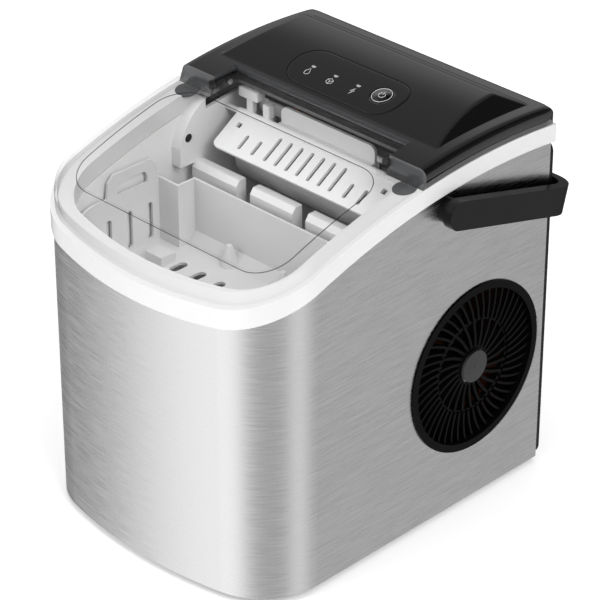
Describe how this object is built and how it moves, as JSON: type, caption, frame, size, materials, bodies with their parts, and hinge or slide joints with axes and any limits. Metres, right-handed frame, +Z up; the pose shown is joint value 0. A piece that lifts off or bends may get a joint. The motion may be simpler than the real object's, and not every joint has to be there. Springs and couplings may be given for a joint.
{
  "type": "ice maker",
  "caption": "Countertop ice maker: bowed steel body, white top band, clear hinged lid, black hood with controls, carrying handle and side fan grille.",
  "frame": {"origin": "on the floor, under the middle of the whole object's box", "axes": "+Z up, -Y the front with the ice lid, +X right as seen from the front, where the fan is"},
  "size_m": [0.248, 0.293, 0.2889],
  "materials": {
    "steel_sheet": "brushed",
    "white_band": "gloss",
    "white_tub": "satin",
    "black_gloss": "gloss",
    "black_satin": "satin",
    "dark_cap": "matte",
    "clear_lid": "clear",
    "rubber_foot": "matte",
    "pin_steel": "plain",
    "coil_copper": "plain",
    "fin_aluminium": "plain",
    "plated_fingers": "plated",
    "compressor_paint": "satin",
    "motor_can": "plain",
    "board": "satin",
    "hose": "satin",
    "lamp_lens": "clear",
    "sensor_lens": "gloss"
  },
  "bodies": {
    "frame": {"steel_shell": "steel_sheet", "top_collar": "white_band", "rim_cap_left": "dark_cap", "rim_cap_right": "dark_cap", "rear_panel": "black_satin", "cord_gland": "dark_cap", "base_pan": "black_satin", "foot_front_left": "rubber_foot", "foot_front_right": "rubber_foot", "foot_rear_left": "rubber_foot", "foot_rear_right": "rubber_foot", "top_cover": "black_gloss", "control_panel": "black_gloss", "water_lamp": "lamp_lens", "ice_lamp": "lamp_lens", "power_lamp": "lamp_lens", "lid_pin_left": "pin_steel", "lid_pin_right": "pin_steel", "handle_pivot_left": "black_satin", "handle_pivot_right": "black_satin", "fan_grille": "black_gloss", "grille_hub_cap": "black_gloss", "fan_frame": "black_satin", "fan_motor": "motor_can", "condenser_fins": "fin_aluminium", "condenser_coil": "coil_copper", "inner_liner": "white_tub", "tray_motor": "motor_can", "evaporator_bar": "plated_fingers", "evaporator_fingers": "plated_fingers", "compressor": "compressor_paint", "compressor_grommets": "rubber_foot", "suction_pipe": "coil_copper", "discharge_pipe": "coil_copper", "filter_dryer": "coil_copper", "water_pump": "black_satin", "water_hose": "hose", "drain_spout": "white_tub", "display_board": "board", "control_board": "board", "ice_sensor_left": "sensor_lens", "ice_sensor_right": "sensor_lens", "rear_screws": "pin_steel", "base_screws": "pin_steel"},
    "lid": {"lid": "clear_lid"},
    "handle": {"handle": "black_satin"},
    "power_button": {"power_button": "black_gloss"},
    "fan": {"fan_impeller": "black_satin"},
    "basket": {"ice_basket": "white_tub"},
    "tray": {"water_tray": "white_tub"},
    "shovel": {"ice_shovel": "white_tub"},
    "drain_plug": {"drain_plug": "dark_cap"}
  },
  "joints": [
    {"name": "lid_hinge", "type": "hinge", "parent": "frame", "child": "lid", "pos_m": [0, 0.018, 0.2685], "axis": [-1, 0, 0], "range_deg": [0, 90]},
    {"name": "handle_swing", "type": "hinge", "parent": "frame", "child": "handle", "pos_m": [0, 0.028, 0.2393], "axis": [1, 0, 0], "range_deg": [0, 105]},
    {"name": "power_button_press", "type": "slide", "parent": "frame", "child": "power_button", "axis": [0, 0, -1], "range_m": [0, 0.0008], "stiffness_N_per_m": 600},
    {"name": "fan_spin", "type": "hinge", "parent": "frame", "child": "fan", "pos_m": [0.09, 0.061, 0.108], "axis": [1, 0, 0], "continuous": true},
    {"name": "basket_lift", "type": "slide", "parent": "frame", "child": "basket", "axis": [0, 0, 1], "range_m": [0, 0.018]},
    {"name": "tray_tilt", "type": "hinge", "parent": "frame", "child": "tray", "pos_m": [0, 0.047, 0.213], "axis": [1, 0, 0], "range_deg": [0, 75]},
    {"name": "shovel_swing", "type": "hinge", "parent": "frame", "child": "shovel", "pos_m": [0, 0.026, 0.244], "axis": [1, 0, 0], "range_deg": [0, 21]},
    {"name": "drain_plug_pull", "type": "slide", "parent": "frame", "child": "drain_plug", "axis": [-1, 0, 0], "range_m": [0, 0.015]}
  ],
  "couplings": [
    {"joint": "shovel_swing", "follows": "tray_tilt", "ratio": 0.27}
  ]
}
